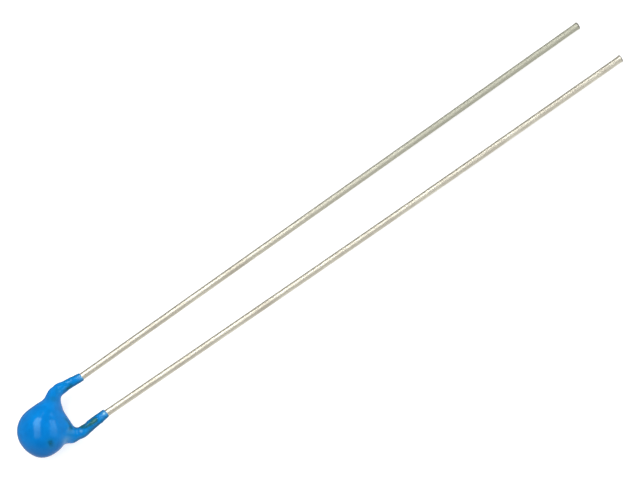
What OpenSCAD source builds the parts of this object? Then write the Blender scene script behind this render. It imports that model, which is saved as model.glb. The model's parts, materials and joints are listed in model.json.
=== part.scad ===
// NTC thermistor, bead type. A ceramic disc has a silver film fired on each face, and a tinned
// wire is soldered to each film. The head is dipped in lacquer, which also runs a few
// millimetres along both wires. The part lies on its bead and on the tips of its wires.
//
// The head is drawn with the disc's centre at the origin, its faces level, and the wires
// running along +X: the front wire on the top face at +Y, the back wire underneath at -Y.

/* [Ceramic disc] */
// Diameter of the ceramic disc
disc_d = 2.2; // [1.8:0.05:2.7]
// Thickness of the ceramic disc
disc_t = 1.0; // [0.8:0.05:1.3]
// Thickness of the silver film on each face
electrode_t = 0.02; // [0.01:0.01:0.05]
// Bare rim of ceramic left round each silver film
electrode_rim = 0.1; // [0.05:0.05:0.2]

/* [Solder] */
// Diameter of each solder joint
solder_d = 1.4; // [1:0.1:1.5]
// Solder over the top of each wire
solder_cover = 0.08; // [0.04:0.01:0.12]
// Solder left between each wire and its silver film
solder_film = 0.02; // [0.01:0.01:0.04]

/* [Wires] */
// Diameter of the tinned wire
wire_d = 0.45; // [0.3:0.05:0.5]
// Distance between the wires where they leave the lacquer
lead_pitch = 2.8; // [2.4:0.1:3.4]
// Angle by which each wire leans outwards, in degrees
lead_splay = 0.42; // [0:0.02:2]
// Bare length of the front wire
front_len = 39.15; // [10:0.05:60]
// Bare length of the back wire
back_len = 40.05; // [10:0.05:60]
// Radius of every bend, measured to the middle of the wire
bend_r = 0.8; // [0.5:0.1:0.9]
// Length of wire past the middle of its joint
wire_tail = 0.5; // [0.3:0.05:0.6]
// Distance of each joint's middle from the disc's centre, towards its wire
joint_shift = 0.25; // [0:0.05:0.25]
// Distance past the disc's edge at which a wire leaves its face
lift_gap = 0.1; // [0.05:0.05:0.2]
// Distance of the front wire's kink past the disc's edge
front_kink = 1; // [0.8:0.02:1.2]
// Distance of the back wire's kink past the disc's edge
back_kink = 0.44; // [0.4:0.02:0.8]
// How far the front wire's kink stands outside the straight wire
front_kink_out = 0.18; // [0:0.02:0.3]
// How far the back wire's kink stands outside the straight wire
back_kink_out = 0.12; // [0:0.02:0.3]

/* [Lacquer] */
// Lacquer over the disc's edge
rim_coat = 0.48; // [0.35:0.01:0.7]
// How far the lacquer sags out on one side of the bead
sag = 0.1; // [0:0.01:0.15]
// Radius of the sag
sag_r = 0.7; // [0.5:0.05:1]
// Direction of the sag about the disc's axis, in degrees
sag_turn = 234; // [200:1:250]
// Lacquer over the wire on each face
face_coat = 0.28; // [0.2:0.01:0.5]
// Length of lacquer on the wires, from the disc's edge
leg_len = 2.75; // [2.4:0.05:4]
// Lacquer over the wires where they leave the disc
neck_coat = 0.14; // [0.1:0.01:0.25]
// How far the front neck's lacquer hangs towards the disc's mid-plane
neck_drop = 0.25; // [0:0.05:0.25]
// Lacquer over the front wire's kink
front_kink_coat = 0.11; // [0.1:0.01:0.25]
// Lacquer over the back wire's kink
back_kink_coat = 0.13; // [0.1:0.01:0.25]
// Lacquer over each wire at its edge
edge_coat = 0.03; // [0.03:0.005:0.1]
// Length inside the lacquer's edge of the last soft bend
soft_bend = 0.12; // [0.1:0.01:0.15]
// Blend between the bead and the front leg
front_blend = 0.95; // [0.6:0.05:1.1]
// Blend between the bead and the back leg
back_blend = 0.34; // [0.2:0.02:0.6]
// Blend along each leg
leg_blend = 0.2; // [0.1:0.02:0.3]
// Thickness of the lacquer web held in the fork of the legs
web_d = 1.04; // [0.8:0.02:1.1]
// Distance of the web's middle line past the disc's edge
web_out = 0.1; // [0:0.02:0.2]
// Reach of the web towards the front leg
web_front = 0.49; // [0.2:0.01:0.6]
// Reach of the web towards the back leg
web_back = 0.95; // [0.6:0.01:1.1]
// Blend between the bead and the web
web_blend = 0.35; // [0.2:0.05:0.5]

/* [Mesh of the lacquer] */
// Points round each section
section_points = 36; // [24:4:48]
// Sections along each leg
leg_sections = 9; // [6:1:12]
// Sections round the bead
bead_sections = 30; // [20:2:36]

/* [Hidden] */
$fn = 48;

FRONT = 1;
BACK = -1;
disc_r = disc_d / 2;
wire_r = wire_d / 2;
face_z = disc_t / 2 + electrode_t;             // top of a silver film
wire_z = face_z + solder_film + wire_r;        // middle of a wire on its face
solder_h = solder_film + wire_d + solder_cover;
bead_r = disc_r + rim_coat;
sag_middle = bead_r * [cos(sag_turn), sin(sag_turn), 0];
bead_half_t = wire_z + wire_r + face_coat;
edge_x = disc_r + leg_len;                     // where the lacquer stops
FORK_GAP = 0.2;                                // from the web to the hinge, in the open fork
FORK_SHIFT = 0.25;                             // of the hinge, towards the back wire
hinge = [disc_r + web_out + web_d / 2 + FORK_GAP, -FORK_SHIFT];
STOP_GAP = 0.02;                               // between two stops of the sections' middles
search = disc_d;                               // longest ray from a section's middle
HALVINGS = 16;
TINY = 1e-6;                                   // keeps a quotient finite at the bead's centre
BEND_LAP = 0.5;                                // degrees that a bend runs into each rod
BEND_THIN = 0.99;                              // share of the wire's diameter left in a bend

// ---- Route of a wire, for side FRONT or BACK ----

function unit(v) = v / norm(v);
function free_len(side) = side == FRONT ? front_len : back_len;
function kink_past(side) = side == FRONT ? front_kink : back_kink;
function kink_out(side) = side == FRONT ? front_kink_out : back_kink_out;

// Middle of the solder joint, on the wire
function joint(side) = [0, side * joint_shift, side * wire_z];
// Corner of the outward kink, level with the disc's mid-plane
function kink(side) = [disc_r + kink_past(side), side * (lead_pitch / 2 + kink_out(side)), 0];
// Direction of the wire while it lies on the face
function cross_dir(side) = let (run = kink(side) - joint(side)) unit([run.x, run.y, 0]);
// Corner where the wire leaves the face
function lift(side) = joint(side)
    + cross_dir(side) * (disc_r + lift_gap - cross_dir(side).y * side * joint_shift);
// Corner of the soft bend just inside the lacquer's edge
function soft(side) = [edge_x - soft_bend, side * lead_pitch / 2, 0];
// Direction of the straight wire
function lead_dir(side) = [cos(lead_splay), side * sin(lead_splay), 0];
function tip(side) = soft(side) + lead_dir(side) * (soft_bend + free_len(side));
function tail(side) = joint(side) - cross_dir(side) * wire_tail;
function route(side) = [tail(side), lift(side), kink(side), soft(side), tip(side)];

// ---- Round wire along a route: straight rods joined by bends ----

// Distance from a corner to where its bend starts
function bend_leg(a, corner, b) =
    bend_r * tan(acos(unit(corner - a) * unit(b - corner)) / 2);

// Places children with their X and Y along the two given unit vectors
module along(origin, x, y) {
    z = cross(x, y);
    multmatrix([[x.x, y.x, z.x, origin.x],
                [x.y, y.y, z.y, origin.y],
                [x.z, y.z, z.z, origin.z],
                [0, 0, 0, 1]]) children();
}

module rod(a, b, d) {
    axis = unit(b - a);
    side = unit(cross([0, 0, 1], axis));
    along(a, side, cross(axis, side)) cylinder(d = d, h = norm(b - a));
}

// A bend is drawn a touch thinner than the straight wire, as bending draws it down, and runs
// a touch into the rods at its ends
module bend(a, corner, b, d) {
    heading = unit(corner - a);
    turned = unit(b - corner);
    inward = unit(turned - (turned * heading) * heading);
    start = corner - heading * bend_leg(a, corner, b);
    along(start + inward * bend_r, -inward, heading)
        rotate([0, 0, -BEND_LAP])
            rotate_extrude(angle = acos(heading * turned) + 2 * BEND_LAP)
                translate([bend_r, 0]) circle(d = d * BEND_THIN);
}

module bent_wire(points, d) {
    last = len(points) - 1;
    starts = [for (i = [0 : last - 1]) i == 0 ? points[0] :
        points[i] + unit(points[i + 1] - points[i])
            * bend_leg(points[i - 1], points[i], points[i + 1])];
    ends = [for (i = [0 : last - 1]) i == last - 1 ? points[last] :
        points[i + 1] - unit(points[i + 1] - points[i])
            * bend_leg(points[i], points[i + 1], points[i + 2])];
    for (i = [0 : last - 1]) rod(starts[i], ends[i], d);
    for (i = [1 : last - 1]) bend(points[i - 1], points[i], points[i + 1], d);
}

// ---- Lacquer: a gap function that is negative inside, and sections that follow it ----

// Smaller of two gaps, rounded off over the blend
function soft_min(a, b, blend) =
    let (near = max(blend - abs(a - b), 0) / blend) min(a, b) - near * near * blend / 4;

// Gap to a tapered rod with round ends
function rod_gap(p, a, b, ra, rb) =
    let (t = max(0, min(1, (p - a) * (b - a) / ((b - a) * (b - a)))))
    norm(p - a - t * (b - a)) - ra - t * (rb - ra);

// Gap to the bead, an ellipsoid with a sag on one side
function bead_gap(p) =
    let (k0 = norm([p.x / bead_r, p.y / bead_r, p.z / bead_half_t]),
         k1 = norm([p.x / bead_r ^ 2, p.y / bead_r ^ 2, p.z / bead_half_t ^ 2]))
    k0 * (k0 - 1) / max(k1, TINY) - sag * exp(-(norm(p - sag_middle) / sag_r) ^ 2);

function web_gap(p) =
    rod_gap(p, [disc_r + web_out, web_front, 0], [disc_r + web_out, -web_back, 0],
            web_d / 2, web_d / 2);

// The rods that a leg is made of: over the face, down to the kink, round it, and out to the
// edge. Each is [start, end, radius at the start, radius at the end].
function leg_rods(side) =
    let (neck_r = wire_r + neck_coat,
         kink_r = wire_r + (side == FRONT ? front_kink_coat : back_kink_coat),
         pull = bend_leg(lift(side), kink(side), soft(side)),
         before = kink(side) - unit(kink(side) - lift(side)) * pull,
         after = kink(side) + unit(soft(side) - kink(side)) * pull,
         beyond = soft(side) + unit(soft(side) - kink(side)) * soft_bend,
         drop = [0, 0, side == FRONT ? neck_drop : 0])
    [[joint(side) - drop, lift(side) - drop, neck_r, neck_r],
     [lift(side) - drop, before, neck_r, kink_r],
     [before, after, kink_r, kink_r],
     [after, beyond, kink_r, wire_r + edge_coat]];
front_rods = leg_rods(FRONT);
back_rods = leg_rods(BACK);

function leg_gap(p, rods) =
    let (gaps = [for (r = rods) rod_gap(p, r[0], r[1], r[2], r[3])])
    soft_min(soft_min(gaps[0], gaps[1], leg_blend), soft_min(gaps[2], gaps[3], leg_blend),
             leg_blend);

function coat_gap(p) =
    soft_min(soft_min(soft_min(bead_gap(p), web_gap(p), web_blend),
                      leg_gap(p, front_rods), front_blend),
             leg_gap(p, back_rods), back_blend);

// Distance along dir from p to the lacquer's surface, by halving
function to_surface(p, dir, near, far, turns) =
    turns == 0 ? (near + far) / 2 :
    let (mid = (near + far) / 2)
    coat_gap(p + mid * dir) < 0 ? to_surface(p, dir, mid, far, turns - 1)
                                : to_surface(p, dir, near, mid, turns - 1);

// A section: points round its middle, in the plane of the outward direction and Z. Rays that
// head for the fork stop at the hinge, room away.
function section(middle, outward, room) =
    [for (i = [0 : section_points - 1])
        let (turn = 360 * i / section_points,
             dir = cos(turn) * outward + [0, 0, sin(turn)],
             far = cos(turn) < 0 ? min(search, -room / cos(turn)) : search)
        middle + dir * to_surface(middle, dir, 0, far, HALVINGS)];

// Point of a wire's route at the given x, from the face to the edge of the lacquer
function at_x(side, x) =
    let (corners = [lift(side), kink(side), soft(side), tip(side)])
    [x, lookup(x, [for (c = corners) [c.x, c.y]]), lookup(x, [for (c = corners) [c.x, c.z]])];

function leg_ring(side, x) =
    let (middle = at_x(side, x)) section(middle, [0, side, 0], abs(middle.y - hinge.y));

// Where the middle of a section round the bead lies: [turn about the hinge, distance, height]
function polar(p, height) =
    let (d = [p.x - hinge.x, p.y - hinge.y])
    [(atan2(d.y, d.x) + 360) % 360, norm(d), height];
stops = [polar(at_x(FRONT, hinge.x), at_x(FRONT, hinge.x).z),
         polar(lift(FRONT), lift(FRONT).z / 2),
         polar([0, hinge.y, 0], 0),
         polar(lift(BACK), lift(BACK).z / 2),
         if (kink(BACK).x < hinge.x - STOP_GAP) polar(kink(BACK), 0),
         polar(at_x(BACK, hinge.x), at_x(BACK, hinge.x).z)];

function bead_ring(turn) =
    let (room = lookup(turn, [for (s = stops) [s[0], s[1]]]),
         height = lookup(turn, [for (s = stops) [s[0], s[2]]]),
         outward = [cos(turn), sin(turn), 0])
    section([hinge.x, hinge.y, height] + room * outward, outward, room);

leg_step = (edge_x - hinge.x) / leg_sections;
rings = [for (i = [0 : leg_sections - 1]) leg_ring(FRONT, edge_x - i * leg_step),
         for (i = [0 : bead_sections]) bead_ring(90 + 180 * i / bead_sections),
         for (i = [1 : leg_sections]) leg_ring(BACK, hinge.x + i * leg_step)];

module lacquer_outside() {
    n = section_points;
    last = len(rings) - 1;
    polyhedron(
        points = [for (ring = rings) each ring],
        faces = [[for (i = [0 : n - 1]) i],
                 for (r = [0 : last - 1], i = [0 : n - 1])
                     let (a = r * n + i, b = r * n + (i + 1) % n)
                     each [[a, a + n, b], [b, a + n, b + n]],
                 [for (i = [n - 1 : -1 : 0]) last * n + i]],
        convexity = 6);
}

// ---- Pieces ----

// Height of the head's underside and the angle at which bead and tips touch one level
low_z = min([for (ring = rings, p = ring) p.z]);
lie_angle = asin((-low_z - wire_r) / max(tip(FRONT).x, tip(BACK).x));
middle_x = (min([for (ring = rings, p = ring) p.x]) + max(tip(FRONT).x, tip(BACK).x)) / 2;
middle_y = (tip(FRONT).y + tip(BACK).y) / 2;
rest_z = -min([for (ring = rings, p = ring) p.z * cos(lie_angle) - p.x * sin(lie_angle)]);

// Lays the part on the table, with its middle over the origin
module lie_down() {
    translate([-middle_x * cos(lie_angle), -middle_y, rest_z]) rotate([0, lie_angle, 0])
        children();
}

// Turns what is drawn on top of the disc to the side's own face
module on_face(side) {
    if (side == FRONT) children(); else mirror([0, 0, 1]) children();
}

module disc_shape() {
    translate([0, 0, -disc_t / 2]) cylinder(d = disc_d, h = disc_t);
}

module electrode_shape(side) {
    on_face(side) translate([0, 0, disc_t / 2])
        cylinder(d = disc_d - 2 * electrode_rim, h = electrode_t);
}

// A low dome of solder, before the wire is taken out of it
module solder_dome(side) {
    dome_r = (solder_d ^ 2 / 4 + solder_h ^ 2) / (2 * solder_h);
    on_face(side) translate([0, side * joint_shift, face_z]) intersection() {
        translate([0, 0, solder_h - dome_r]) sphere(r = dome_r);
        cylinder(r = dome_r + solder_h, h = 2 * solder_h);
    }
}

module wire_shape(side) {
    bent_wire(route(side), wire_d);
}

module solder(side) {
    lie_down() difference() {
        solder_dome(side);
        wire_shape(side);
    }
}

module coating() {
    color("dodgerblue") lie_down() difference() {
        lacquer_outside();
        disc_shape();
        for (side = [FRONT, BACK]) {
            electrode_shape(side);
            solder_dome(side);
            wire_shape(side);
        }
    }
}

module ceramic_disc() { color("dimgray") lie_down() disc_shape(); }
module front_electrode() { color("gainsboro") lie_down() electrode_shape(FRONT); }
module back_electrode() { color("gainsboro") lie_down() electrode_shape(BACK); }
module front_solder() { color("lightgray") solder(FRONT); }
module back_solder() { color("lightgray") solder(BACK); }
module front_lead() { color("silver") lie_down() wire_shape(FRONT); }
module back_lead() { color("silver") lie_down() wire_shape(BACK); }

coating();
ceramic_disc();
front_electrode();
back_electrode();
front_solder();
back_solder();
front_lead();
back_lead();
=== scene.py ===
# %% [markdown]
# # A lacquer-dipped bead thermistor
#
# The real part is a small ceramic disc with a silver film fired on each face and a tinned wire
# soldered to each film. The head is dipped in blue lacquer, which also runs a few millimetres
# along both wires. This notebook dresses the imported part: the lacquer and the two wires are
# made again as fine surfaces, and the pieces that they hide keep their own meshes and get
# their own finishes.

# %% Load the part and keep its box
import json
import math
import bpy
import numpy as np
from mathutils import Matrix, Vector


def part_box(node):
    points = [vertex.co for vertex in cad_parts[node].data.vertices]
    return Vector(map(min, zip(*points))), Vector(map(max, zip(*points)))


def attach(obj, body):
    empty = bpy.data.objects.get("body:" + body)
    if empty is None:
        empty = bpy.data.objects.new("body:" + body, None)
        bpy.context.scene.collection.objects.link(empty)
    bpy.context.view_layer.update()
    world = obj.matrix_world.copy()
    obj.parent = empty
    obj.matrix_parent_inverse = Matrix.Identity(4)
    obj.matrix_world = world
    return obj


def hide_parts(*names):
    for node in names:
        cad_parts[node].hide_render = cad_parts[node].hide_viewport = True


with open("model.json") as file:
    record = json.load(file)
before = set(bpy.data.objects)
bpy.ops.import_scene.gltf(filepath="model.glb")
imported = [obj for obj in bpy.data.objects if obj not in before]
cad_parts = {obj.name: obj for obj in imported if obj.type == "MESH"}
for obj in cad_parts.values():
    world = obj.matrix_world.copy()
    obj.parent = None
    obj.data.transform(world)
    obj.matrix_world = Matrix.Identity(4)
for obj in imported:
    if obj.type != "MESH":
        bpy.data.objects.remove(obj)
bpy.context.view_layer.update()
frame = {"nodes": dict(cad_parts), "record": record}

MM = 0.001               # the frame is in metres

# %% [markdown]
# ## The head's own axes
#
# The part lies on its bead and on the tips of its wires, so the head is tilted by a degree or
# so. Its shape is easier to write on its own axes: the middle of the disc is the origin, X runs
# along the wires, Y across them and Z out of the top face. Those axes could be typed in, but
# the record gives the two wires where they leave the lacquer, and the disc gives the middle.


# %% Axes of the head
def unit(v):
    """A vector divided by its length."""
    return v / np.linalg.norm(v)


pins = {mount["name"]: mount for mount in frame["record"]["mounts"]}
front_pin, back_pin = pins["front_lead_pin"], pins["back_lead_pin"]
disc_low, disc_high = (np.array(corner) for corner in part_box("ceramic_disc"))
head_middle = (disc_low + disc_high) / 2
along = unit(np.array(front_pin["axis"]) + np.array(back_pin["axis"]))
across = np.array([0.0, 1.0, 0.0])
HEAD_AXES = np.stack([along, across, np.cross(along, across)])


def to_part(points):
    """Head axes, mm, to the part's frame, m: the head's middle plus x, y and z along its axes."""
    return head_middle + MM * np.asarray(points) @ HEAD_AXES


def to_head(points):
    """The part's frame, m, to the head's axes, mm: the projections on those axes."""
    return (np.asarray(points) - head_middle) @ HEAD_AXES.T / MM


print("tilt of the head:", round(math.degrees(math.asin(-along[2])), 2), "degrees")

# %% [markdown]
# ## Routes of the two wires
#
# Each wire lies across its face of the disc, in the solder. Past the disc's edge it slants
# outwards and in to the mid-plane, turns at a kink, and then runs straight to its cut end. A
# Bezier curve could follow that, but a wire formed on a tool has straight runs joined by round
# bends of one radius, so the route is built the same way.

# %% Corners of a route, in mm on the head's axes
wire_r = front_pin["dims"]["r_mm"]
disc_r, disc_half_t = 1.1, 0.5
FILM = 0.04          # silver and solder between a wire and its face
JOINT_SHIFT = 0.25   # each joint's middle, from the disc's middle
LIFT_GAP = 0.1       # past the disc's edge, where the wire leaves the face
WIRE_TAIL = 0.5      # wire past the middle of its joint
SOFT_BEND = 0.12     # from the last bend's corner to the lacquer's edge
BEND_R = 0.8         # radius of every bend
HANDS = {"front": 1, "back": -1}     # which side of the disc: up and +Y, or down and -Y
PINS = {"front": front_pin, "back": back_pin}
KINKS = {"front": (disc_r + 1.0, 1.58), "back": (disc_r + 0.44, -1.52)}    # their corners


def route_corners(side, pin, kink):
    """The places that a wire passes: tail, joint, lift, kink, soft bend, exit and tip."""
    joint = np.array([0, side * JOINT_SHIFT, side * (disc_half_t + FILM + wire_r)])
    kink = np.array([*kink, 0.0])
    heading = unit((kink - joint) * [1, 1, 0])
    lift = joint + heading * (disc_r + LIFT_GAP - heading[1] * side * JOINT_SHIFT)
    leaving = HEAD_AXES @ np.array(pin["axis"])
    leave = to_head(pin["pos_m"])
    return {"tail": joint - heading * WIRE_TAIL, "joint": joint, "lift": lift, "kink": kink,
            "soft": leave - leaving * SOFT_BEND, "leave": leave,
            "tip": leave + leaving * pin["dims"]["length_mm"]}


routes = {name: route_corners(HANDS[name], PINS[name], KINKS[name]) for name in HANDS}
edge_x = (routes["front"]["leave"][0] + routes["back"]["leave"][0]) / 2
print("wire radius", wire_r, "mm; lacquer's edge at x =", round(edge_x, 3), "mm")


# %% A round bend at a corner
def bend_pull(before, corner, after):
    """Distance from a corner to where its bend starts: radius x tan(half the turn)."""
    turn = math.acos(unit(corner - before) @ unit(after - corner))
    return BEND_R * math.tan(turn / 2)


def bend_points(before, corner, after, count=9):
    """Arc of the bend: centre + radius x (-cos a inward + sin a heading), a from 0 to the turn."""
    heading, turned = unit(corner - before), unit(after - corner)
    turn = math.acos(heading @ turned)
    inward = unit(turned - (turned @ heading) * heading)
    centre = corner - heading * bend_pull(before, corner, after) + inward * BEND_R
    a = np.linspace(0, turn, count)[:, None]
    return centre + BEND_R * (np.sin(a) * heading - np.cos(a) * inward)


def wire_path(route, last):
    """Points of a wire's middle line from its tail to the corner named last."""
    names = ["tail", "lift", "kink", "soft", "tip"]
    corners = [route[name] for name in names]
    bends = [bend_points(*corners[i - 1:i + 2]) for i in range(1, 4)]
    return np.concatenate([corners[:1], *bends, [route[last]]])


for name, route in routes.items():
    print(name, "wire's middle line:", len(wire_path(route, "tip")), "points from tail to tip")

# %% [markdown]
# ## The shape of the lacquer
#
# Wet lacquer pulls itself into the smallest surface that covers what was dipped: a flattened
# bead over the disc, a skin on each wire, and soft fillets between them. Sculpting or metaballs
# would give something like it. A gap function says it exactly: every simple shape has a
# formula for how far a point is outside it, and a soft minimum of those melts them together.

# %% Thicknesses of the lacquer, in mm
RIM_COAT = 0.48          # over the disc's edge
FACE_COAT = 0.28         # over the wire on each face
NECK_COAT = 0.14         # over a wire where it leaves the disc
NECK_DROPS = {"front": 0.25, "back": 0.0}  # the neck's middle sags this far off the wire's
KINK_COATS = {"front": 0.11, "back": 0.13}    # over a wire, round its kink
EDGE_COAT = 0.03         # at the lacquer's edge
SAG, SAG_R, SAG_TURN = 0.10, 0.70, 234     # height, radius and direction in degrees of the sag
BLENDS = {"front": 0.95, "back": 0.34, "leg": 0.2, "web": 0.35}    # how softly each melts in
WEB_R = 0.52             # web of lacquer held in the fork
WEB_X = disc_r + 0.1
WEB_REACH = (0.49, -0.95)                  # from and to, in Y
TINY = 1e-6              # keeps the bead's middle from a division by zero
bead_r = disc_r + RIM_COAT
bead_size = np.array([bead_r, bead_r, disc_half_t + FILM + 2 * wire_r + FACE_COAT])
sag_turn = math.radians(SAG_TURN)
sag_middle = bead_r * np.array([math.cos(sag_turn), math.sin(sag_turn), 0])
print("the bead before anything melts into it:", [round(float(v), 2) for v in 2 * bead_size], "mm")


def soft_min(a, b, blend):
    """Smaller of a and b, less a quarter of blend x (1 - |a - b| / blend) squared."""
    near = np.maximum(blend - np.abs(a - b), 0) / blend
    return np.minimum(a, b) - near * near * blend / 4


def rod_gap(p, a, b, ra, rb):
    """Distance to the nearest point of the segment a-b, less a radius that runs from ra to rb."""
    a, b = np.asarray(a, float), np.asarray(b, float)
    t = np.clip((p - a) @ (b - a) / ((b - a) @ (b - a)), 0, 1)
    return np.linalg.norm(p - a - t[..., None] * (b - a), axis=-1) - ra - t * (rb - ra)


def mound(p, place, radius):
    """Gaussian bump: exp(-(distance to the place / radius) squared)."""
    return np.exp(-np.sum((p - np.array(place)) ** 2, axis=-1) / radius ** 2)


def bead_gap(p):
    """Ellipsoid k0 (k0 - 1) / k1, k0 = |p / size|, k1 = |p / size squared|, less the sag."""
    k0 = np.linalg.norm(p / bead_size, axis=-1)
    k1 = np.linalg.norm(p / bead_size ** 2, axis=-1)
    return k0 * (k0 - 1) / np.maximum(k1, TINY) - SAG * mound(p, sag_middle, SAG_R)


# %% The legs, the web and the whole lacquer
def leg_rods(name):
    """Four tapered rods along a wire: over the face, down to the kink, round it, to the edge."""
    r = routes[name]
    pull = bend_pull(r["lift"], r["kink"], r["soft"])
    before = r["kink"] - unit(r["kink"] - r["lift"]) * pull
    after = r["kink"] + unit(r["soft"] - r["kink"]) * pull
    beyond = r["soft"] + unit(r["soft"] - r["kink"]) * SOFT_BEND
    neck, kink, edge = (wire_r + c for c in (NECK_COAT, KINK_COATS[name], EDGE_COAT))
    drop = np.array([0, 0, HANDS[name] * NECK_DROPS[name]])
    return [(r["joint"] - drop, r["lift"] - drop, neck, neck),
            (r["lift"] - drop, before, neck, kink),
            (before, after, kink, kink), (after, beyond, kink, edge)]


rods = {name: leg_rods(name) for name in routes}


def leg_gap(p, name):
    """Soft minimum of a leg's four rods, taken in pairs."""
    g = [rod_gap(p, *rod) for rod in rods[name]]
    return soft_min(soft_min(g[0], g[1], BLENDS["leg"]), soft_min(g[2], g[3], BLENDS["leg"]),
                    BLENDS["leg"])


def coat_gap(p):
    """Bead, web, front leg and back leg melted together, each with its own blend."""
    web = rod_gap(p, (WEB_X, WEB_REACH[0], 0), (WEB_X, WEB_REACH[1], 0), WEB_R, WEB_R)
    gap = soft_min(bead_gap(p), web, BLENDS["web"])
    for name in HANDS:
        gap = soft_min(gap, leg_gap(p, name), BLENDS[name])
    return gap


away_from_it = coat_gap(np.array([[-2.0, 0, 0]]))[0]
print("2 mm behind the disc's middle is", round(float(away_from_it), 2), "mm outside the coat")

# %% [markdown]
# ## Sections through the lacquer
#
# The lacquer is a bent sausage: up one leg, round the bead and down the other leg. It is cut
# into sections. Along the legs they stand square to X, and round the bead they turn like the
# pages of an open book that is hinged in the fork. On each page, rays leave the middle in all
# directions, and halving finds where each meets the gap function's zero. That gives one even
# grid of points with no poles on the bead, which a voxel mesh or a marched one would not.

# %% Middle line of the sections
RAYS = 128
LEG_PAGES, BEAD_PAGES = 72, 190
HINGE_GAP, HINGE_Y = 0.2, -0.25          # the hinge is in the open fork, clear of the web
LIFT_SHARE = 0.5         # the middle line rises only half as far as each wire does
hinge = np.array([WEB_X + WEB_R + HINGE_GAP, HINGE_Y])
phi = np.linspace(0, 2 * np.pi, RAYS, endpoint=False)


def at_x(name, x):
    """Points of a wire's route at the given x, by straight lines between its corners."""
    corners = np.array([routes[name][c] for c in ("lift", "kink", "soft", "tip")])
    return np.stack([x, np.interp(x, corners[:, 0], corners[:, 1]),
                     np.interp(x, corners[:, 0], corners[:, 2])], -1)


def bead_middles(turns):
    """Hinge + distance x (cos, sin): distance and height run between stops on the route."""
    front, back = (at_x(name, hinge[:1])[0] for name in HANDS)
    lifts = [routes[name]["lift"] * [1, 1, LIFT_SHARE] for name in HANDS]
    stops = np.array([front, lifts[0], [0, hinge[1], 0], lifts[1], routes["back"]["kink"], back])
    d = stops[:, :2] - hinge
    at = np.degrees(np.arctan2(d[:, 1], d[:, 0])) % 360
    room = np.interp(turns, at, np.linalg.norm(d, axis=1))
    a = np.radians(turns)
    return np.stack([hinge[0] + room * np.cos(a), hinge[1] + room * np.sin(a),
                     np.interp(turns, at, stops[:, 2])], -1)


# %% Rays to the surface
HALVINGS = 22
LONGEST = 2 * disc_r     # no ray needs to be longer
LEAN = 0.01              # rays that lean inwards by less than this miss the hinge


def to_surface(start, direction, far):
    """Distance along each ray at which the gap function changes sign, by repeated halving."""
    near = np.zeros_like(far)
    for _ in range(HALVINGS):
        half = (near + far) / 2
        inside = coat_gap(start + half[..., None] * direction) < 0
        near, far = np.where(inside, half, near), np.where(inside, far, half)
    return (near + far) / 2


def page_rays(middle, side_on):
    """Directions cos(phi) side_on + sin(phi) up; those that head for the fork stop at the hinge."""
    rays = np.cos(phi)[None, :, None] * side_on[:, None, :] + np.sin(phi)[:, None] * [0, 0, 1.0]
    room = np.where(side_on[:, 0] == 0, np.abs(middle[:, 1] - hinge[1]),
                    np.linalg.norm(middle[:, :2] - hinge, axis=1))
    inward = -np.cos(phi)
    far = np.where(inward > LEAN, room[:, None] / np.maximum(inward, LEAN), LONGEST)
    return rays, to_surface(middle[:, None, :], rays, np.minimum(far, LONGEST))


print(f"each ray ends within {LONGEST / 2 ** HALVINGS:.0e} mm of the surface")

# %% [markdown]
# ## What the dip left: lumps, dents and ridges
#
# Lacquer that dries on a thin wire beads up here and drains away there. The legs of this part
# carry small lumps and dents, one sharp ridge with a gutter beside it, and swellings along
# their sides. A noise texture alone would scatter such marks anywhere, so each one is placed
# one by one, and only the faint waviness in between is random.

# %% Lumps and ridges: place on the head's axes, radius and height, in mm
LUMPS = [
    ((3.27, 1.66, 0.16), 0.10, 0.030),      # front leg: two on its outer side
    ((2.98, 1.68, 0.16), 0.12, 0.022),
    ((2.70, 1.20, 0.02), 0.13, 0.020),      # and one in the fork
    ((2.05, 1.85, 0.10), 0.30, 0.050),      # outside and inside of its kink
    ((1.95, 0.85, 0.10), 0.25, 0.045),
    ((3.30, -1.68, 0.06), 0.13, 0.030),     # back leg: two on its outer side
    ((2.50, -1.78, 0.06), 0.14, 0.020),
    ((1.95, -1.82, 0.00), 0.25, -0.050),    # dents outside and inside of its kink
    ((1.85, -1.05, 0.10), 0.20, -0.040),
    ((2.85, -1.40, 0.26), 0.12, -0.018),    # and a dent on top
    ((1.84, 0.62, 0.06), 0.22, 0.070),      # a swelling where the front leg meets the web
    ((1.33, -0.98, 0.52), 0.20, -0.035)]    # the crease between the bead and the back leg
RIDGES = [
    ([(1.78, -1.44, 0.37), (2.10, -1.57, 0.33), (2.45, -1.64, 0.27), (2.72, -1.62, 0.25),
      (2.95, -1.58, 0.25)], 0.055, 0.030),  # back leg: the sharp ridge on top
    ([(1.95, -1.33, 0.36), (2.30, -1.46, 0.34), (2.66, -1.47, 0.31)], 0.10, -0.024),  # gutter
    ([(2.65, -1.12, 0.04), (3.20, -1.13, 0.04), (3.80, -1.16, 0.04)], 0.16, 0.055),   # in fork
    ([(2.85, 1.70, 0.10), (3.30, 1.68, 0.08), (3.85, 1.63, 0.06)], 0.14, 0.042),  # front, outer
    ([(1.45, 1.70, 0.20), (1.80, 1.85, 0.20), (2.15, 1.92, 0.18)], 0.20, 0.042)]  # front, kink
WAVE_LENGTH, WAVE_HEIGHT, WAVE_SEED = 0.75, 0.004, 4


def line_mound(p, points, radius):
    """The same bump along a chain of straight runs: the nearest run counts."""
    gaps = [rod_gap(p, a, b, 0, 0) for a, b in zip(points[:-1], points[1:])]
    return np.exp(-(np.min(gaps, axis=0) / radius) ** 2)


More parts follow.
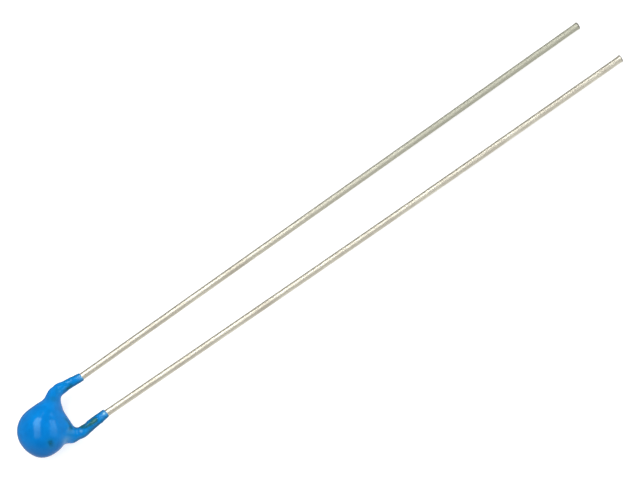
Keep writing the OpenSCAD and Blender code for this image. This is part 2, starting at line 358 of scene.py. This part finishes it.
def ripple(p, wave_length, seed, waves=14):
    """Sum of cosines of seeded directions, lengths and phases, over the root of their number."""
    rng = np.random.default_rng(seed)
    k = rng.normal(size=(3, waves))
    k *= 2 * np.pi / wave_length * rng.uniform(0.7, 1.4, waves) / np.linalg.norm(k, axis=0)
    return np.cos(p @ k + rng.uniform(0, 2 * np.pi, waves)).sum(-1) / math.sqrt(waves)


def swelling(p):
    """Lumps plus ridges (a gutter is a ridge of negative height) plus a faint waviness."""
    lumps = sum(height * mound(p, spot, radius) for spot, radius, height in LUMPS)
    ridges = sum(height * line_mound(p, points, radius) for points, radius, height in RIDGES)
    return lumps + ridges + WAVE_HEIGHT * ripple(p, WAVE_LENGTH, seed=WAVE_SEED)


print(len(LUMPS), "lumps and dents,", len(RIDGES), "ridges and swellings")

# %% [markdown]
# ## The lacquer's edges and the wires' pockets
#
# At its edge the lacquer rounds over and meets the wire a little unevenly, because it dried
# there under surface tension. The skin could simply stop, but a real coat is a solid with two
# pockets that the wires sit in. So past the edge the grid turns back along the wire, all the
# way to the wire's tail, and closes.

# %% Edges and pockets
EDGE_ROUND = 0.07        # length over which the skin closes onto the wire
EDGE_PAGES = 9
EDGE_WAVE = 0.030        # how far back the edge wanders
EDGE_AHEAD = {"front": 0.09, "back": 0.01}     # how far out the skin creeps, before the wave
EDGE_RUN = 0.5           # how far in from the edge both are felt
EDGE_SEEDS = {"front": 21, "back": 22}
POCKET_R = wire_r - 0.002     # a touch inside the wire's surface, so that no gap shows


def edge_creep(name, x):
    """How far the skin creeps out at x: ahead, less a wave of one lobe and two, at the edge."""
    a, b = np.random.default_rng(EDGE_SEEDS[name]).uniform(0, 2 * np.pi, 2)
    wave = (2 + np.cos(phi + a) + np.cos(2 * phi + b)) / 4
    felt = np.clip(1 - (edge_x - x) / EDGE_RUN, 0, 1)[:, None]
    return felt * (EDGE_AHEAD[name] - EDGE_WAVE * wave)


def leg_skin(name):
    """A leg from the edge inwards: its radius closes onto the wire as a quarter ellipse."""
    rounded = edge_x - EDGE_ROUND * (1 - np.cos(np.linspace(0, np.pi / 2, EDGE_PAGES)))
    x = np.concatenate([rounded, np.linspace(rounded[-1], hinge[0], LEG_PAGES + 1)[1:-1]])
    middle = at_x(name, x)
    rays, r = page_rays(middle, np.tile([0.0, HANDS[name], 0], (len(x), 1)))
    r = r + swelling(middle[:, None, :] + r[..., None] * rays)
    t = np.clip(1 - (edge_x - x) / EDGE_ROUND, 0, 1)
    r = POCKET_R + (r - POCKET_R) * np.sqrt(1 - t ** 2)[:, None]
    p = middle[:, None, :] + r[..., None] * rays
    p[..., 0] += edge_creep(name, x)
    return p


def bead_skin():
    """The pages round the bead, from the hinge's +Y side to its -Y side."""
    turns = np.linspace(90, 270, BEAD_PAGES + 1)
    a = np.radians(turns)
    middle = bead_middles(turns)
    rays, r = page_rays(middle, np.stack([np.cos(a), np.sin(a), np.zeros_like(a)], -1))
    r = r + swelling(middle[:, None, :] + r[..., None] * rays)
    return middle[:, None, :] + r[..., None] * rays


def tube_rings(path, radius, hand=1, around=phi):
    """Rings round a path: path + radius (hand cos(phi) side + sin(phi) top), side kept level."""
    tangent = np.gradient(path, axis=0)
    tangent /= np.linalg.norm(tangent, axis=1)[:, None]
    side = np.cross([0, 0, 1.0], tangent)
    side /= np.linalg.norm(side, axis=1)[:, None]
    top = np.cross(tangent, side)
    radius = np.broadcast_to(radius, len(path))[:, None, None]
    return path[:, None, :] + radius * (hand * np.cos(around)[:, None] * side[:, None, :]
                                        + np.sin(around)[:, None] * top[:, None, :])


# %% One closed grid, from the front wire's tail to the back wire's tail
pockets = {name: tube_rings(wire_path(routes[name], "leave"), POCKET_R, HANDS[name])
           for name in HANDS}
lacquer_rings = np.concatenate([pockets["front"], leg_skin("front"), bead_skin(),
                                leg_skin("back")[::-1], pockets["back"][::-1]])
print("lacquer grid:", len(lacquer_rings), "rings of", RAYS, "points")

# %% [markdown]
# ## From rings to a mesh
#
# Each new piece is a stack of rings with a point at each end, so one function makes them all.
# It numbers the ring points row by row, joins each row to the next with quads, and fans the
# first and last rings to a pole. `foreach_set` puts whole arrays in at once.

# %% A closed mesh from rings
def closed_mesh(name, rings, first_pole, last_pole):
    """Quad (i, j), (i+1, j), (i+1, j+1), (i, j+1) between rings i and i+1, fans at both ends."""
    rows, sides = rings.shape[:2]
    j = np.arange(sides)
    after = (j + 1) % sides
    i = np.arange(rows - 1)[:, None] * sides
    quads = np.stack([i + j, i + sides + j, i + sides + after, i + after], -1).reshape(-1, 4)
    low, high = rows * sides, rows * sides + 1
    top = (rows - 1) * sides
    fans = np.concatenate([np.stack([np.full(sides, low), j, after], -1),
                           np.stack([np.full(sides, high), top + after, top + j], -1)])
    points = np.concatenate([rings.reshape(-1, 3), [first_pole, last_pole]])
    mesh = bpy.data.meshes.new(name)
    mesh.vertices.add(len(points))
    mesh.vertices.foreach_set("co", to_part(points).astype(np.float32).ravel())
    corners = np.concatenate([quads.ravel(), fans.ravel()])
    counts = np.concatenate([np.full(len(quads), 4), np.full(len(fans), 3)])
    mesh.loops.add(len(corners))
    mesh.loops.foreach_set("vertex_index", corners.astype(np.int32))
    mesh.polygons.add(len(counts))
    starts = np.concatenate([[0], np.cumsum(counts)[:-1]])
    mesh.polygons.foreach_set("loop_start", starts.astype(np.int32))
    mesh.update(calc_edges=True)
    mesh.validate()
    mesh.shade_smooth()
    return mesh


def point_attribute(mesh, name, values):
    """Stores one number, or one vector, for each point of a mesh."""
    kind, field = ("FLOAT", "value") if np.ndim(values) == 1 else ("FLOAT_VECTOR", "vector")
    mesh.attributes.new(name, kind, "POINT").data.foreach_set(
        field, np.asarray(values, np.float32).ravel())


def add_piece(mesh, material, node):
    """Puts a mesh in the scene as a piece that rides on the part and stands for a CAD node."""
    piece = bpy.data.objects.new(mesh.name, mesh)
    bpy.context.scene.collection.objects.link(piece)
    piece.data.materials.append(material)
    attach(piece, "root")
    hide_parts(node)
    print(mesh.name, "has", len(mesh.vertices), "points and", len(mesh.polygons), "faces")


# %% [markdown]
# ## Building materials from nodes
#
# All the finishes are built in code, so three small helpers keep them readable: one turns an
# sRGB hex colour into the linear numbers that shaders use, one adds a node together with its
# settings and links, and one starts an empty material.

# %% Helpers for materials
def hex_color(code):
    """sRGB to linear: c / 12.92 below 0.04045, else ((c + 0.055) / 1.055) to the power 2.4."""
    c = np.array([int(code[k:k + 2], 16) for k in (1, 3, 5)]) / 255
    linear = np.where(c <= 0.04045, c / 12.92, ((c + 0.055) / 1.055) ** 2.4)
    return (*(float(v) for v in linear), 1.0)


def add_node(tree, kind, inputs=None, stops=(), **settings):
    """Adds a node: its properties, each input's value or link, and a ramp's (place, hex) stops."""
    node = tree.nodes.new("ShaderNode" + kind)
    for name, value in settings.items():
        setattr(node, name, value)
    for name, value in (inputs or {}).items():
        socket = node.inputs[name]
        if isinstance(value, bpy.types.NodeSocket):
            tree.links.new(value, socket)
        else:
            socket.default_value = value
    for k, (position, code) in enumerate(stops):
        elements = node.color_ramp.elements
        element = elements[k] if k < len(elements) else elements.new(position)
        element.position, element.color = position, hex_color(code)
    return node


def new_material(name):
    """An empty node material with its output node."""
    material = bpy.data.materials.new(name)
    material.use_nodes = True
    material.node_tree.nodes.clear()
    return material, material.node_tree, material.node_tree.nodes.new("ShaderNodeOutputMaterial")


print("the middle grey #808080 is", round(hex_color("#808080")[0], 3), "of white's light")

# %% [markdown]
# ## Thin and sheer lacquer, painted highlights and painted shade
#
# The coat isn't equally thick. Where it drained thin, the disc or the wire under it turns the
# blue to teal and then to olive. Where it is a mere film over bright tin, mostly at its ends,
# it looks sheer and pale; the same pale tone also paints highlights on the legs and a
# reflection in the crease by the bead. Round the sag, on the bead's lower side, a painted
# shade makes the blue deeper.
# Transparent layers could do all that, but would need an inner mesh for every such place. A
# number stored at each point for each of the three is simpler and survives the export.

# %% Thin places, and sheer places with painted highlights: place on the head's axes, radius in mm, and depth
THIN_SPOTS = [
    ((-0.10, -1.07, 0.93), 0.21, 0.85),     # on the bead, at the disc's edge
    ((-0.15, -1.28, 0.75), 0.19, 0.50),
    ((1.63, 1.13, 0.71), 0.28, 0.42),       # front leg: its neck, its kink and two beyond
    ((2.20, 1.43, 0.43), 0.26, 0.30),
    ((3.03, 1.32, 0.26), 0.15, 0.60),
    ((2.74, 1.28, 0.22), 0.14, 0.35),
    ((3.01, -1.39, 0.29), 0.13, 0.90),      # back leg: two on top of its wire
    ((2.80, -1.41, 0.31), 0.15, 0.60),
    ((1.25, -1.25, 0.42), 0.32, 0.30)]      # and one in the crease by the bead
THIN_LINES = [
    ([(2.10, -1.33, 0.34), (2.33, -1.41, 0.33), (2.60, -1.45, 0.32),
      (2.95, -1.40, 0.30)], 0.17, 0.85),    # back leg: along the top of its wire
    ([(1.75, -1.10, 0.23), (2.11, -1.19, 0.24), (2.60, -1.17, 0.12), (3.20, -1.12, 0.10),
      (3.78, -1.14, 0.10)], 0.16, 0.72),    # its edge in the fork
    ([(1.22, -1.70, -0.08), (1.54, -1.76, 0.08), (1.92, -1.83, 0.20), (2.29, -1.79, 0.17),
      (2.76, -1.75, 0.13), (3.80, -1.63, 0.13)], 0.12, 0.65),     # its outer edge
    ([(2.50, 1.20, 0.22), (2.68, 1.24, 0.20), (3.28, 1.19, 0.13),
      (3.88, 1.15, 0.10)], 0.12, 0.62),     # front leg: its edge in the fork
    ([(2.75, 1.75, 0.17), (3.30, 1.69, 0.15), (3.88, 1.60, 0.15)], 0.11, 0.60),   # outer edge
    ([(1.50, -0.35, 0.43), (1.57, -0.62, 0.38), (1.54, -0.88, 0.39),
      (1.42, -0.97, 0.47)], 0.17, 0.75),    # the web's edge, by the back leg
    ([(2.70, 1.52, 0.0), (3.90, 1.42, 0.0)], 0.50, 0.16),         # faint, all over each leg
    ([(2.20, -1.58, 0.0), (3.85, -1.42, 0.0)], 0.50, 0.14),
    ([(2.45, -1.56, 0.10), (3.10, -1.52, 0.10)], 0.32, 0.16)]
# Pale spots: at the legs' very ends the lacquer is a thin film over tin, which is real; the rest
# are painted highlights on the legs and a painted reflection by the bead
SHEER_AND_GLINT_SPOTS = [
    # painted highlights: two glints near the back leg's end and one at its kink
    ((3.66, -1.38, 0.27), 0.09, 0.95),      # back leg: two near its end, and its kink
    ((3.44, -1.45, 0.28), 0.12, 0.15),
    ((1.88, -1.49, 0.40), 0.09, 0.30),
    ((3.70, 1.42, 0.26), 0.12, 0.20),       # front leg: near its end
    ((3.94, 1.34, 0.18), 0.15, 0.75),       # the very ends of both
    ((3.88, -1.38, 0.16), 0.15, 0.60),
    # painted reflection in the crease where the back leg meets the bead
    ((0.80, -1.40, 0.28), 0.27, 0.32)]      # where the back leg meets the bead


def spots_and_lines(p, spots, lines=()):
    """Sum of spots and lines, each a Gaussian of its own radius and depth."""
    total = sum(depth * mound(p, spot, radius) for spot, radius, depth in spots)
    return total + sum(depth * line_mound(p, points, r) for points, r, depth in lines)


print(len(THIN_SPOTS) + len(THIN_LINES), "thin places and", len(SHEER_AND_GLINT_SPOTS), "sheer ones")

# %% [markdown]
# ## Blue dipping lacquer
#
# The real coat is a pigmented resin: the head was dipped in it and then baked. That gives the
# eye a deep, even blue under a smooth gloss, with a very slight orange peel. Its colour could be
# one flat blue, but noise between two near blues looks more like pigment that settled, and the
# three stored numbers mix the other tones in. The IOR is 1.47, near that of cured resin, and
# the mirror is kept weak so that it doesn't wash out the blue. The specular tint takes some red
# out of it too: a blue this deep lies outside what a screen can show, and a weak white
# reflection on top of it still reads slightly cyan.

# %% The lacquer's tones, and the sizes of its patterns
LACQUER_BLUE, LACQUER_DEEP = "#048ee8", "#0382da"      # full coat, lightest and deepest
# painted shade: a deeper blue round the sag, on the bead's lower side
LACQUER_SHADED_LOW = "#0873c4"                             # round the sag
THIN_LIGHT, THIN_TEAL, THIN_OLIVE = "#1f80a6", "#0d618a", "#1d646a"    # thin, ever thinner
# pale tone of a thin film over tin, also used for painted highlights and a painted reflection
SHEER_AND_GLINT_PALE, MIRROR_TINT = "#98d4ee", "#c8ffff"
SHADE_LOW_R = 1.5             # how far round the sag the coat is deeper in colour, in mm
MOTTLE_MM = 0.55         # cloudiness of the blue
PEEL_MM, PEEL_DEPTH_MM = 0.35, 0.01      # orange peel
BREAKUP_MM = 0.16        # ragged edges of the thin places


def per_mm(size):
    """Noise scale that gives features of a size in mm, on coordinates in metres."""
    return 1 / (size * MM)


# %% The lacquer's material
lacquer, tree, output = new_material("blue_dipping_lacquer")
place = add_node(tree, "TexCoord").outputs["Object"]
mottle = add_node(tree, "TexNoise", {"Vector": place, "Scale": per_mm(MOTTLE_MM), "Detail": 3.0})
breakup = add_node(tree, "TexNoise", {"Vector": place, "Scale": per_mm(BREAKUP_MM), "Detail": 2.0})
even = add_node(tree, "ValToRGB", {"Fac": mottle.outputs["Fac"]},
                stops=[(0.35, LACQUER_DEEP), (0.62, LACQUER_BLUE)])
# painted shade: deeper blue towards the bead's lower side, round the sag
pooled = add_node(tree, "Attribute", attribute_name="pooled").outputs["Fac"]
full = add_node(tree, "MixRGB", {"Fac": pooled, "Color1": even.outputs["Color"],
                                 "Color2": hex_color(LACQUER_SHADED_LOW)})
thin = add_node(tree, "Attribute", attribute_name="thin").outputs["Fac"]
uneven = add_node(tree, "MapRange", {"Value": breakup.outputs["Fac"], "From Min": 0.3,
                                     "From Max": 0.7, "To Min": 0.70, "To Max": 1.10})
amount = add_node(tree, "Math", {0: thin, 1: uneven.outputs["Result"]}, operation="MULTIPLY")
drained = add_node(tree, "ValToRGB", {"Fac": amount.outputs[0]},
                   stops=[(0.25, THIN_LIGHT), (0.65, THIN_TEAL), (1.0, THIN_OLIVE)])
mixed = add_node(tree, "MixRGB", {"Fac": amount.outputs[0], "Color1": full.outputs["Color"],
                                  "Color2": drained.outputs["Color"]}, use_clamp=True)
# pale film at the legs' ends, plus painted highlights and a painted reflection
sheer = add_node(tree, "Attribute", attribute_name="sheer").outputs["Fac"]
skin = add_node(tree, "MixRGB", {"Fac": sheer, "Color1": mixed.outputs["Color"],
                                 "Color2": hex_color(SHEER_AND_GLINT_PALE)}, use_clamp=True)
peel = add_node(tree, "TexNoise", {"Vector": place, "Scale": per_mm(PEEL_MM), "Detail": 1.0})
bump = add_node(tree, "Bump", {"Height": peel.outputs["Fac"], "Strength": 0.25,
                               "Distance": PEEL_DEPTH_MM * MM})
shader = add_node(tree, "BsdfPrincipled", {
    "Base Color": skin.outputs["Color"], "Roughness": 0.15, "IOR": 1.47,
    "Specular IOR Level": 0.32, "Specular Tint": hex_color(MIRROR_TINT),
    "Normal": bump.outputs["Normal"]})
tree.links.new(shader.outputs["BSDF"], output.inputs["Surface"])
print(lacquer.name, "has", len(tree.nodes), "nodes")

# %% The lacquer piece
tails = [routes[name]["tail"] for name in HANDS]
lacquer_mesh = closed_mesh("lacquer_coat", lacquer_rings, *tails)
lacquer_points = np.concatenate([lacquer_rings.reshape(-1, 3), tails])
point_attribute(lacquer_mesh, "thin", spots_and_lines(lacquer_points, THIN_SPOTS, THIN_LINES))
# where the pale tone goes: thin film at the ends, painted highlights and a painted reflection
point_attribute(lacquer_mesh, "sheer", spots_and_lines(lacquer_points, SHEER_AND_GLINT_SPOTS))
# painted shade round the sag, on the bead's lower side
point_attribute(lacquer_mesh, "pooled", mound(lacquer_points, sag_middle, SHADE_LOW_R))
add_piece(lacquer_mesh, lacquer, "coating")

# %% [markdown]
# ## The tinned wires
#
# Tinned copper wire is drawn through a die and then hot-dipped in tin, so it is round and
# straight, with faint drawing lines along it and a slightly cloudy skin. The leads are cut off
# by shears: the end is nearly square, a little spread, with its rim rolled over. A curve with a
# bevel would do for the tube, but not for the rim, so the wire is swept as rings too.

# %% Middle line of a wire, in mm
WIRE_STEP = 0.1          # between rings on the straight run
BOWS = {"front": 0.012, "back": 0.075}     # outward bow of each straight run, at its middle
WIRE_WAVE, WIRE_WAVE_LENGTH = 0.0015, 2.2  # height and length of its waviness
WANDER_SEEDS = {"front": (8, 18), "back": (6, 16)}     # for its wander across and up


def straight_run(route, bow):
    """Exit to tip in even steps, bowed along Y by bow x sin(pi x share of the way)."""
    length = np.linalg.norm(route["tip"] - route["leave"])
    t = np.linspace(0, 1, int(length / WIRE_STEP))[:, None]
    run = route["leave"] + t * (route["tip"] - route["leave"])
    return run + bow * np.sin(np.pi * t) * [0, 1, 0]


def wander(name, path):
    """The faint waviness of a drawn wire: two ripples, from nothing at the lacquer's edge."""
    sideways, upwards = (ripple(path, WIRE_WAVE_LENGTH, seed) for seed in WANDER_SEEDS[name])
    bare = np.clip((path[:, 0] - edge_x) / WIRE_WAVE_LENGTH, 0, 1)[:, None]
    return bare * (WIRE_WAVE * np.stack([np.zeros(len(path)), sideways, upwards], -1))


# %% Surface of a wire, with its cut end, in mm
WIRE_SIDES = 48
CUT_RINGS = 7
CUT_ROLL = 0.05          # radius of the rolled rim at the cut
CUT_SLANT = 0.035        # how far the cut leans back on one side
BURR, BURR_RUN = 0.022, 0.18     # the shears spread the end by this much, over this length
wire_phi = np.linspace(0, 2 * np.pi, WIRE_SIDES, endpoint=False)


def wire_surface(name):
    """Tube round the route; at the cut its radius follows a quarter circle into the end."""
    route = routes[name]
    run = straight_run(route, HANDS[name] * BOWS[name])
    path = np.concatenate([wire_path(route, "leave"), run[1:]])
    heading = unit(route["tip"] - route["leave"])
    a = np.linspace(0, np.pi / 2, CUT_RINGS)
    rim = path[-1] - CUT_ROLL * (1 - np.sin(a))[:, None] * heading
    path = np.concatenate([path[:-1], rim])
    from_cut = np.linalg.norm(path - path[-1], axis=1) / BURR_RUN
    radius = wire_r + BURR * np.exp(-from_cut ** 2)
    radius[-CUT_RINGS:] -= CUT_ROLL * (1 - np.cos(a))
    rings = tube_rings(path + wander(name, path), radius, -1, wire_phi)
    slant = CUT_SLANT * (1 + np.cos(wire_phi + HANDS[name])) / 2
    rings[-CUT_RINGS:] -= slant[:, None] * heading
    return path, radius, rings


# %% [markdown]
# ## Hot-dipped tin
#
# Tin is a pale, slightly warm metal. Hot-dipped and then handled, it gives the eye a soft band
# of light and not a sharp mirror: metallic 1, the default IOR, and a roughness of about 0.5.
# The skin is cloudy, the front wire is duller and greyer towards its end, and the sheared faces
# are dark. Drawing lines run along the wire, so their noise is stretched along it. Object
# coordinates would smear at the bends, so each point also stores where it would be if the wire
# were pulled straight, in mm, and the noise reads that.

# %% Tin's tones, and the sizes of its patterns
TIN, TIN_CLOUD, TIN_DULL, CUT_METAL = "#f2eedd", "#dad4c4", "#d0d0c0", "#6f6c64"
SATIN, CLOUD_SATIN = 0.46, 0.56          # roughness where the tin is clear and where it is cloudy
DULL_ROUGH = 0.15        # roughness that the dull end has on top
CLOUD_MM = 1.6
LINE_MM = 0.05           # real drawing lines are finer: these are as coarse as it takes to show
LINE_STRETCH, LINE_DEPTH_MM = 0.02, 0.004

# %% The tin's material
tin, tree, output = new_material("tinned_copper_wire")
pulled = add_node(tree, "Attribute", attribute_name="pulled_straight").outputs["Vector"]
cloud = add_node(tree, "TexNoise", {"Vector": pulled, "Scale": 1 / CLOUD_MM, "Detail": 4.0})
stretched = add_node(tree, "Mapping", {"Vector": pulled, "Scale": (LINE_STRETCH, 1, 1)})
lines = add_node(tree, "TexNoise", {"Vector": stretched.outputs["Vector"], "Scale": 1 / LINE_MM,
                                    "Detail": 2.0})
tint = add_node(tree, "ValToRGB", {"Fac": cloud.outputs["Fac"]},
                stops=[(0.30, TIN_CLOUD), (0.65, TIN)])
dulled = add_node(tree, "Attribute", attribute_name="dulled").outputs["Fac"]
handled = add_node(tree, "MixRGB", {"Fac": dulled, "Color1": tint.outputs["Color"],
                                    "Color2": hex_color(TIN_DULL)})
sheared = add_node(tree, "Attribute", attribute_name="sheared").outputs["Fac"]
metal = add_node(tree, "MixRGB", {"Fac": sheared, "Color1": handled.outputs["Color"],
                                  "Color2": hex_color(CUT_METAL)})
satin = add_node(tree, "MapRange", {"Value": cloud.outputs["Fac"], "From Min": 0.3,
                                    "From Max": 0.7, "To Min": CLOUD_SATIN, "To Max": SATIN})
rough = add_node(tree, "Math", {0: dulled, 1: DULL_ROUGH, 2: satin.outputs["Result"]},
                 operation="MULTIPLY_ADD")
bump = add_node(tree, "Bump", {"Height": lines.outputs["Fac"], "Strength": 0.35,
                               "Distance": LINE_DEPTH_MM * MM})
shader = add_node(tree, "BsdfPrincipled", {
    "Base Color": metal.outputs["Color"], "Metallic": 1.0, "Roughness": rough.outputs[0],
    "Normal": bump.outputs["Normal"]})
tree.links.new(shader.outputs["BSDF"], output.inputs["Surface"])
print(tin.name, "has", len(tree.nodes), "nodes")

# %% The wire pieces
DULLED = {"front": 1.0, "back": 0.05}      # how dull each wire gets towards its end
DULL_FROM, DULL_RUN = 0.33, 0.40           # where that starts and how long it takes, as shares

for name in HANDS:
    path, radius, rings = wire_surface(name)
    mesh = closed_mesh(name + "_tinned_wire", rings, path[0], path[-1])
    run = np.concatenate([[0], np.cumsum(np.linalg.norm(np.diff(path, axis=0), axis=1))])
    straight = np.stack(np.broadcast_arrays(run[:, None], radius[:, None] * np.cos(wire_phi),
                                            radius[:, None] * np.sin(wire_phi)), -1)
    ends = [[run[0], 0, 0], [run[-1], 0, 0]]
    point_attribute(mesh, "pulled_straight", np.concatenate([straight.reshape(-1, 3), ends]))
    print(name, "wire, pulled straight:", round(float(run[-1]), 2), "mm")
    share = np.concatenate([np.repeat(run, WIRE_SIDES), run[[0, -1]]]) / run[-1]
    point_attribute(mesh, "dulled", DULLED[name] * np.clip((share - DULL_FROM) / DULL_RUN, 0, 1))
    cut = np.zeros(len(share))
    cut[-2 - CUT_RINGS * WIRE_SIDES:-2] = 1     # the rings of the cut come before the two poles
    cut[-1] = 1                                 # the second pole is the one at the cut
    point_attribute(mesh, "sheared", cut)
    add_piece(mesh, tin, name + "_lead")

# %% [markdown]
# ## The pieces inside the lacquer
#
# The disc, its silver films and the solder are right as they are, so they keep the packed
# meshes. Nobody sees them until the coat is taken off, but each gets the finish of its real
# stuff. Sintered oxide is nearly black and dull, like a fired tile. Silver paste that was
# printed and fired looks matt and whitish. Frozen solder is brighter, with a grainy skin. One
# function makes all three, because they differ only in tones, grain size and shine.

# %% Ceramic, silver and solder
def grainy_material(name, dark, light, size_mm, bump_mm, metallic, roughness):
    """Two tones mixed by noise of a grain size, with a bump of the same grain."""
    material, tree, output = new_material(name)
    place = add_node(tree, "TexCoord").outputs["Object"]
    grain = add_node(tree, "TexNoise", {"Vector": place, "Scale": per_mm(size_mm), "Detail": 5.0})
    tone = add_node(tree, "ValToRGB", {"Fac": grain.outputs["Fac"]},
                    stops=[(0.35, dark), (0.65, light)])
    bump = add_node(tree, "Bump", {"Height": grain.outputs["Fac"], "Strength": 0.5,
                                   "Distance": bump_mm * MM})
    shader = add_node(tree, "BsdfPrincipled", {
        "Base Color": tone.outputs["Color"], "Metallic": metallic, "Roughness": roughness,
        "Normal": bump.outputs["Normal"]})
    tree.links.new(shader.outputs["BSDF"], output.inputs["Surface"])
    return material


ceramic = grainy_material("sintered_oxide_ceramic", "#1c1a1c", "#302c2e", 0.05, 0.004,
                          metallic=0.0, roughness=0.8)
silver = grainy_material("fired_silver_paste", "#c6c3ba", "#dcd9d0", 0.04, 0.002,
                         metallic=1.0, roughness=0.45)
solder = grainy_material("frozen_solder", "#a9abad", "#c9cbcc", 0.12, 0.003,
                         metallic=1.0, roughness=0.3)
for node, material in {"ceramic_disc": ceramic, "front_electrode": silver,
                       "back_electrode": silver, "front_solder": solder,
                       "back_solder": solder}.items():
    slots = frame["nodes"][node].data.materials
    slots.clear()
    slots.append(material)
    print(node, "is finished as", material.name)

# %% [markdown]
# ## Floor, light and camera
#
# The part lies on a plain white table between two long softboxes, one nearly overhead to the
# left and one lower on the right. They draw the two long highlights on the bead. A dome of
# even light would be softer, but it would also wash out the blue: gloss adds the colour of
# whatever it mirrors. So the sky is dim overhead and only brighter low down, most of all on the
# back wire's side, and the table neither mirrors in the part nor lights it from below.

# %% Directions as the camera sees them
LEADS_TURN = 36.2        # degrees from the view's right to the wires, seen from above
CAMERA_RISE = 75.0       # degrees above the table
turn, rise = math.radians(LEADS_TURN), math.radians(CAMERA_RISE)
RIGHT = np.array([math.cos(turn), -math.sin(turn), 0])
AWAY = np.array([math.sin(turn), math.cos(turn), 0])
UP = np.array([0, 0, 1.0])


def studio(right, away, up):
    """Right, away and up of the camera's view over the table, as a vector in the part's frame."""
    return right * RIGHT + away * AWAY + up * UP


print("the camera stands", CAMERA_RISE, "degrees above the table")

# %% Table: white card, with a glow of its own that makes it show white
TABLE_SIZE = 3.0
TABLE_GLOW = 0.75        # light of its own, on top of what falls on it
CARD_PATCHES = 3.0       # noise scale: cloudy patches of about a third of a metre
card, tree, output = new_material("white_card_table")
place = add_node(tree, "TexCoord").outputs["Object"]
cloud = add_node(tree, "TexNoise", {"Vector": place, "Scale": CARD_PATCHES})
paper = add_node(tree, "ValToRGB", {"Fac": cloud.outputs["Fac"]},
                 stops=[(0.3, "#babab8"), (0.7, "#bebebe")])
shader = add_node(tree, "BsdfPrincipled", {
    "Base Color": paper.outputs["Color"], "Roughness": 0.7, "Emission Color": (1, 1, 1, 1),
    "Emission Strength": TABLE_GLOW})
tree.links.new(shader.outputs["BSDF"], output.inputs["Surface"])
half = TABLE_SIZE / 2
table_mesh = bpy.data.meshes.new("table")
table_mesh.from_pydata([(-half, -half, 0), (half, -half, 0), (half, half, 0), (-half, half, 0)],
                       [], [(0, 1, 2, 3)])
table_mesh.materials.append(card)
table = bpy.data.objects.new("table", table_mesh)
bpy.context.scene.collection.objects.link(table)
table.visible_diffuse = False      # it throws no light up at the part
table.visible_glossy = False       # and doesn't mirror in it
print("table:", TABLE_SIZE, "m square")


# %% Two softboxes
def stand(thing, x, y, z, place):
    """Puts a lamp or a camera in the scene with its own axes along x, y and z."""
    thing.matrix_world = Matrix.Translation(place) @ Matrix((x, y, z)).transposed().to_4x4()
    bpy.context.scene.collection.objects.link(thing)


def softbox(name, middle, width, length, near, far):
    """A rectangle that faces the part; its radiance runs from near to far along its length."""
    lamp = bpy.data.lights.new(name, "AREA")
    lamp.shape = "RECTANGLE"
    lamp.size, lamp.size_y = width, length
    lamp.energy = math.pi * width * length      # so that the emission's strength is radiance
    lamp.use_nodes = True
    tree = lamp.node_tree
    tree.nodes.clear()
    spot = add_node(tree, "NewGeometry").outputs["Parametric"]
    share = add_node(tree, "SeparateXYZ", {"Vector": spot}).outputs["Y"]
    level = add_node(tree, "MapRange", {"Value": share, "To Min": near, "To Max": far})
    glow = add_node(tree, "Emission", {"Strength": level.outputs["Result"]})
    tree.links.new(glow.outputs["Emission"],
                   tree.nodes.new("ShaderNodeOutputLight").inputs["Surface"])
    light = bpy.data.objects.new(name, lamp)
    back = unit(middle)
    y = unit(AWAY - (AWAY @ back) * back)
    stand(light, np.cross(y, back), y, back, middle)
    print(name, "is", round(float(np.linalg.norm(middle)), 2), "m from the part")


softbox("left_softbox", studio(-0.22, 0.01, 0.60), width=0.37, length=0.90, near=1.1, far=6.7)
softbox("right_softbox", studio(0.55, 0.00, 0.47), width=0.36, length=0.68, near=0.7, far=3.2)

# %% A dim sky
OVERHEAD = 0.12          # brightness overhead, between the softboxes
LOW_BACK, LOW_FRONT = 0.82, 0.27     # low down, on the back wire's side and the front wire's
SKY_SEEN = 0.95          # what the camera sees past the table's edge
world = bpy.data.worlds.new("studio_sky")
bpy.context.scene.world = world
world.use_nodes = True
tree = world.node_tree
tree.nodes.clear()
direction = add_node(tree, "TexCoord").outputs["Generated"]
parts = add_node(tree, "SeparateXYZ", {"Vector": direction})
low = add_node(tree, "MapRange", {"Value": parts.outputs["Y"], "From Min": -0.3,
                                  "From Max": 0.7, "To Min": LOW_BACK, "To Max": LOW_FRONT})
mirrored = add_node(tree, "MapRange", {"Value": parts.outputs["Z"], "From Min": 0.05,
                                       "From Max": 0.55, "To Min": low.outputs["Result"],
                                       "To Max": OVERHEAD})
seen = add_node(tree, "LightPath").outputs["Is Camera Ray"]
level = add_node(tree, "MapRange", {"Value": seen, "To Min": mirrored.outputs["Result"],
                                    "To Max": SKY_SEEN})
sky = add_node(tree, "Background", {"Color": (1, 1, 1, 1), "Strength": level.outputs["Result"]})
tree.links.new(sky.outputs["Background"],
               tree.nodes.new("ShaderNodeOutputWorld").inputs["Surface"])
print("sky: from", LOW_BACK, "and", LOW_FRONT, "low down to", OVERHEAD, "overhead")

# %% Camera
LENS_MM, SENSOR_MM = 179.4, 36.0
CAMERA_AWAY = 0.200      # metres from the camera to the middle of its view
VIEW_RIGHT, VIEW_AWAY = 17.12, 12.20     # mm from the head's middle to the middle of the view
view_middle = head_middle + MM * studio(VIEW_RIGHT, VIEW_AWAY, 0)
forward = studio(0, math.cos(rise), -math.sin(rise))
camera_up = studio(0, math.sin(rise), math.cos(rise))
camera_data = bpy.data.cameras.new("camera")
camera_data.lens, camera_data.sensor_width = LENS_MM, SENSOR_MM
camera_data.clip_start, camera_data.clip_end = 0.01, 10.0
camera = bpy.data.objects.new("camera", camera_data)
stand(camera, RIGHT, camera_up, -forward, view_middle - CAMERA_AWAY * forward)
bpy.context.scene.camera = camera
bpy.context.scene.view_settings.view_transform = "Standard"
print("the view's middle, in mm:", [round(float(v) / MM, 2) for v in view_middle])
